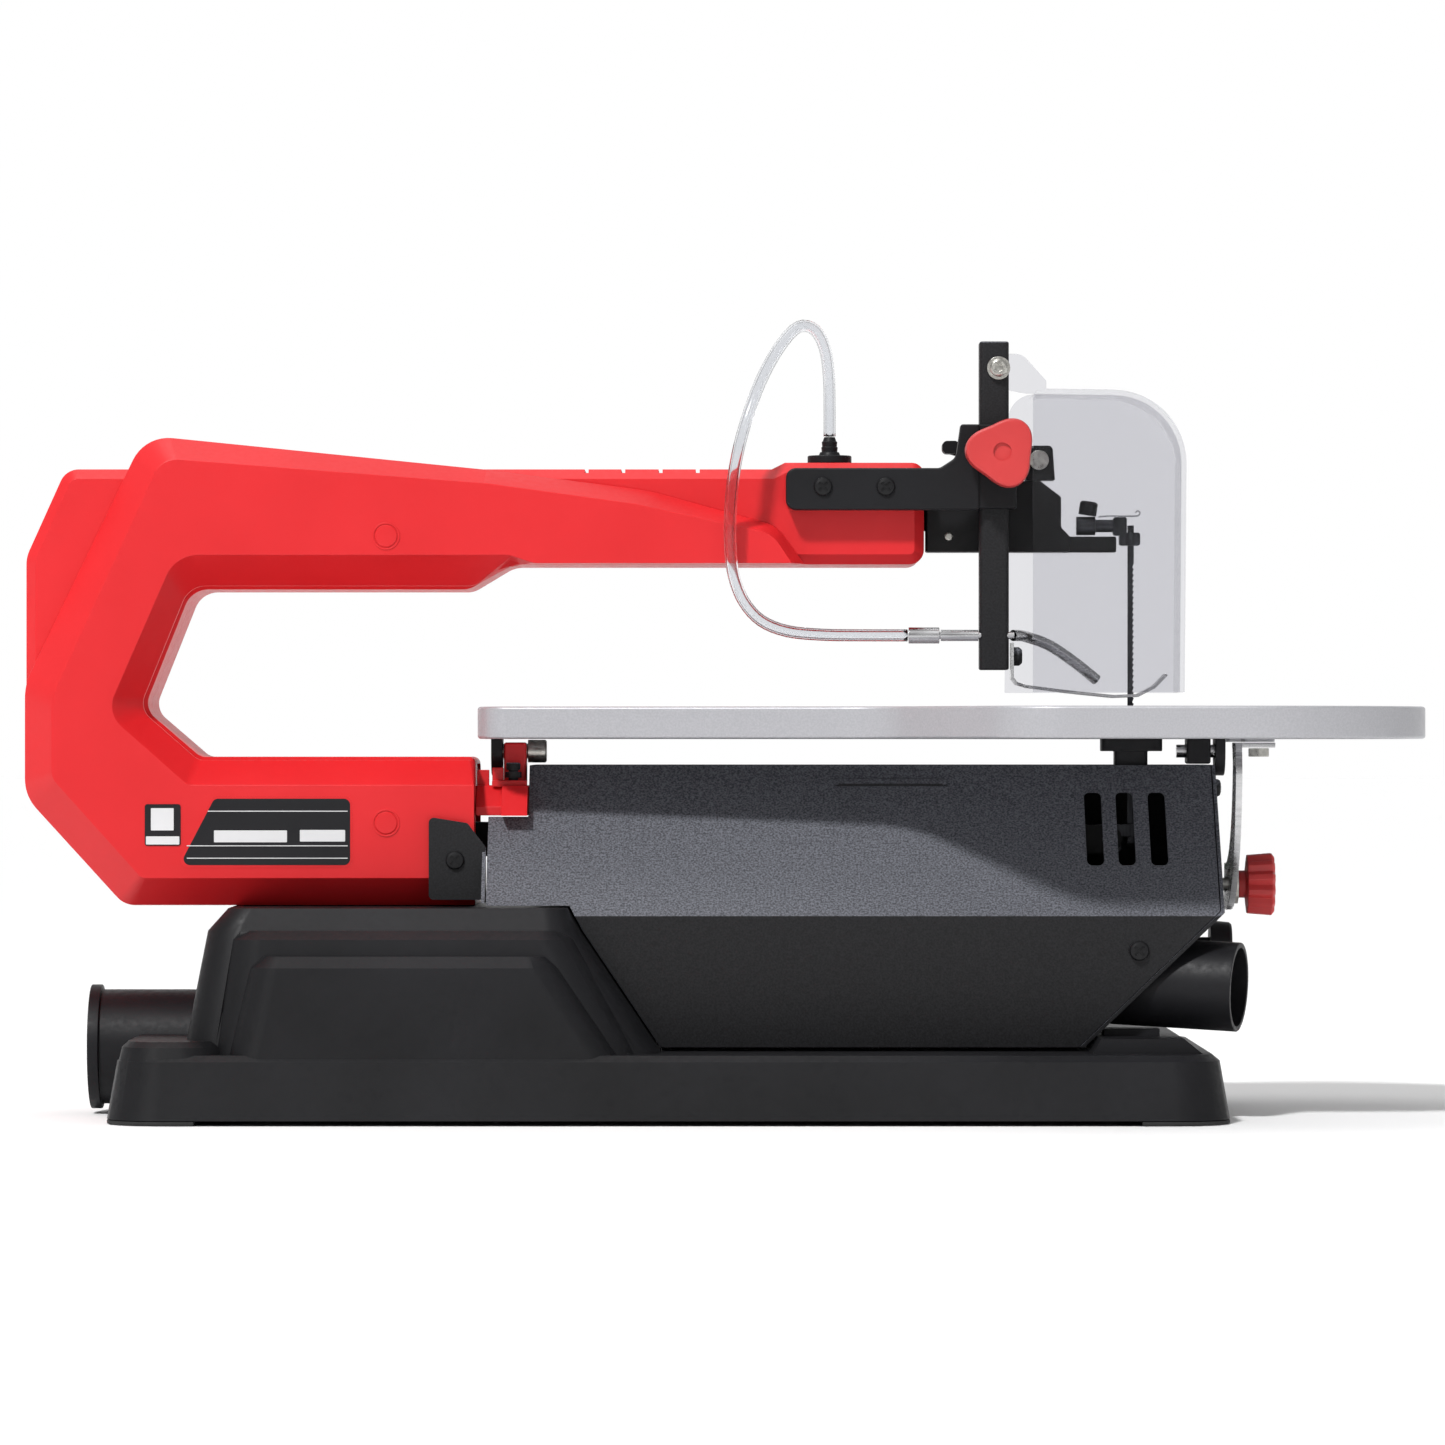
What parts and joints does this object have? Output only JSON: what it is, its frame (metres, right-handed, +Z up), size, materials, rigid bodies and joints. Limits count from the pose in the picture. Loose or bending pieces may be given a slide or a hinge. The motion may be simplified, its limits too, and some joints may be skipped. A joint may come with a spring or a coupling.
{
  "type": "scroll saw",
  "caption": "Parallel-arm scroll saw with a C-shaped housing, rounded tilting table, clear blade guard on a sliding column, hold-down foot and air blower.",
  "frame": {"origin": "centre of the footprint, on the surface the rubber feet stand on", "axes": "+X to the front, where the operator stands and the blade is, +Y to the motor side, +Z up"},
  "size_m": [0.5666, 0.25, 0.3234],
  "materials": {
    "housing_red": "satin",
    "knob_red": "satin",
    "button_green": "satin",
    "black_plastic": "satin",
    "black_metal": "satin",
    "arm_metal": "painted",
    "table_silver": "painted",
    "bright_steel": "bright",
    "dark_steel": "blued",
    "zinc_steel": "zinc plated",
    "rubber": "matte",
    "clear_guard": "clear",
    "clear_hose": "clear"
  },
  "bodies": {
    "root": {"base": "black_plastic", "foot_1": "rubber", "foot_2": "rubber", "foot_3": "rubber", "foot_4": "rubber", "rear_dust_pipe": "black_plastic", "front_dust_pipe": "black_plastic", "left_side_panel": "black_metal", "right_side_panel": "black_metal", "front_panel": "black_metal", "rear_flange": "black_metal", "left_frame_cover": "housing_red", "left_frame_shell": "housing_red", "right_frame_shell": "housing_red", "rear_trunnion_post": "housing_red", "upper_arm_pivot_pin": "bright_steel", "lower_arm_pivot_pin": "bright_steel", "motor_housing": "black_metal", "motor_end_cap": "black_plastic", "front_trunnion_block": "black_plastic", "front_pivot_pin": "bright_steel", "rear_pivot_bolt": "zinc_steel", "tilt_stud": "zinc_steel", "tilt_washer": "zinc_steel", "dust_funnel": "black_plastic", "head_bracket": "black_plastic", "hose_fitting": "black_plastic", "air_hose": "clear_hose", "switch_bezel": "black_plastic", "cable_gland": "rubber"},
    "lower_arm": {"lower_arm": "arm_metal"},
    "upper_arm": {"upper_arm": "arm_metal", "tension_block": "black_plastic", "tension_lever_pin": "zinc_steel"},
    "rear_link": {"rear_link": "zinc_steel"},
    "blade": {"blade": "dark_steel", "upper_blade_clamp": "dark_steel", "lower_blade_clamp": "dark_steel"},
    "clamp_knob": {"upper_clamp_knob": "black_plastic"},
    "tension_lever": {"tension_lever": "black_plastic"},
    "connecting_rod": {"connecting_rod": "zinc_steel"},
    "motor_crank": {"motor_crank": "bright_steel"},
    "table": {"table": "table_silver", "table_insert": "black_plastic", "rear_table_lug": "black_plastic", "front_table_lug": "black_plastic", "tilt_bracket": "bright_steel", "bracket_screw": "zinc_steel"},
    "tilt_knob": {"tilt_clamp_knob": "knob_red"},
    "column": {"guard_column": "black_metal", "hold_down_foot": "bright_steel", "foot_screw": "black_metal", "blower_ferrule": "bright_steel", "blower_nozzle": "bright_steel", "guard_screw": "zinc_steel"},
    "column_knob": {"column_knob": "knob_red"},
    "guard": {"blade_guard": "clear_guard"},
    "speed_dial": {"speed_dial": "black_plastic"},
    "start_button": {"start_button": "button_green"},
    "stop_button": {"stop_button": "knob_red"}
  },
  "joints": [
    {"name": "lower_arm_rock", "type": "hinge", "parent": "root", "child": "lower_arm", "pos_m": [-0.232, 0, 0.112], "axis": [0, -1, 0], "range_deg": [-1.53, 1.53]},
    {"name": "upper_arm_rock", "type": "hinge", "parent": "root", "child": "upper_arm", "pos_m": [-0.232, 0, 0.238], "axis": [0, -1, 0], "range_deg": [-1.6, 1.6]},
    {"name": "rear_link_swing", "type": "hinge", "parent": "upper_arm", "child": "rear_link", "pos_m": [-0.254, 0, 0.238], "axis": [0, -1, 0], "range_deg": [-1.6, 1.6]},
    {"name": "blade_swing", "type": "hinge", "parent": "upper_arm", "child": "blade", "pos_m": [0.1673, 0, 0.2389], "axis": [0, -1, 0], "range_deg": [-1.6, 1.6]},
    {"name": "connecting_rod_swing", "type": "hinge", "parent": "lower_arm", "child": "connecting_rod", "pos_m": [0.025, 0, 0.112], "axis": [0, -1, 0], "range_deg": [-1.6, 1.6]},
    {"name": "motor_turn", "type": "hinge", "parent": "root", "child": "motor_crank", "pos_m": [0.025, 0.03, 0.07], "axis": [0, 1, 0], "continuous": true},
    {"name": "upper_clamp_turn", "type": "hinge", "parent": "blade", "child": "clamp_knob", "pos_m": [0.1494, 0, 0.244], "axis": [0.1483, 0, 0.9889], "range_deg": [-180, 180]},
    {"name": "tension_lever_lift", "type": "hinge", "parent": "upper_arm", "child": "tension_lever", "pos_m": [0.1294, 0, 0.267], "axis": [0, 1, 0], "range_deg": [0, 45]},
    {"name": "table_tilt", "type": "hinge", "parent": "root", "child": "table", "pos_m": [0.05, 0, 0.148], "axis": [1, 0, 0], "range_deg": [0, 45]},
    {"name": "column_slide", "type": "slide", "parent": "root", "child": "column", "axis": [0, 0, 1], "range_m": [0, 0.0402], "deforming": ["air_hose"]},
    {"name": "guard_swing", "type": "hinge", "parent": "column", "child": "guard", "pos_m": [0.112, -0.02, 0.3034], "axis": [0, -1, 0], "range_deg": [0, 75]},
    {"name": "column_knob_turn", "type": "hinge", "parent": "root", "child": "column_knob", "pos_m": [0.1127, -0.049, 0.2686], "axis": [0, -1, 0], "range_deg": [-180, 180]},
    {"name": "tilt_knob_turn", "type": "hinge", "parent": "root", "child": "tilt_knob", "pos_m": [0.219, 0, 0.0935], "axis": [1, 0, 0], "range_deg": [-180, 180]},
    {"name": "speed_dial_turn", "type": "hinge", "parent": "root", "child": "speed_dial", "pos_m": [0.205, 0.03, 0.068], "axis": [-1, 0, 0], "range_deg": [0, 300]},
    {"name": "start_button_press", "type": "slide", "parent": "root", "child": "start_button", "axis": [-1, 0, 0], "range_m": [0, 0.0025], "stiffness_N_per_m": 300},
    {"name": "stop_button_press", "type": "slide", "parent": "root", "child": "stop_button", "axis": [-1, 0, 0], "range_m": [0, 0.0025], "stiffness_N_per_m": 300}
  ],
  "couplings": [
    {"joint": "upper_arm_rock", "follows": "lower_arm_rock", "ratio": 1},
    {"joint": "rear_link_swing", "follows": "lower_arm_rock", "ratio": -1},
    {"joint": "blade_swing", "follows": "lower_arm_rock", "ratio": -1},
    {"joint": "connecting_rod_swing", "follows": "lower_arm_rock", "ratio": -1},
    {"joint": "column_slide", "follows": "table_tilt", "m_per_rad": 0.0509}
  ]
}
